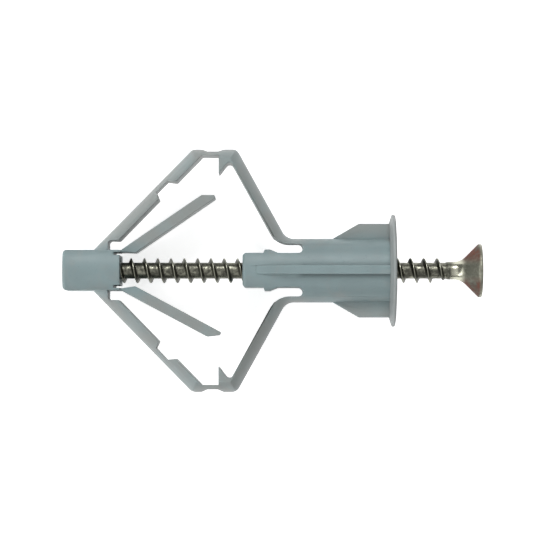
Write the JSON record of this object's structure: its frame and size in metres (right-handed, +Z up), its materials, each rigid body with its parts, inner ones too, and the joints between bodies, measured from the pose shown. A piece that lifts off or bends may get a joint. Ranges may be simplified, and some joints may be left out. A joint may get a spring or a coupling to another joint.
{
  "type": "nylon drywall anchor",
  "caption": "Nylon cavity wall anchor with folding arms and braces, standing open round the long countersunk screw that draws its nose back to clamp it behind a thin board.",
  "frame": {"origin": "bottom centre of the box round the pair as it lies: on the ground, level with the middle of the overall length and on the screw's plane", "axes": "+Z up; +X along the screw towards its head, seen from above (the screw itself climbs 4.26 degrees towards the head); the arms fold out along +Y and -Y"},
  "size_m": [0.0632, 0.0366, 0.0169],
  "materials": {
    "nylon": "moulded blue-grey nylon, satin",
    "steel": "dull plated steel, stained in the thread"
  },
  "bodies": {
    "anchor": {"nylon_anchor": "nylon"},
    "screw": {"countersunk_screw": "steel"}
  },
  "joints": [
    {"name": "screw_drive", "type": "slide", "parent": "anchor", "child": "screw", "axis": [-0.9972, 0, -0.0744], "range_m": [-0.0055, 0.0129]}
  ]
}
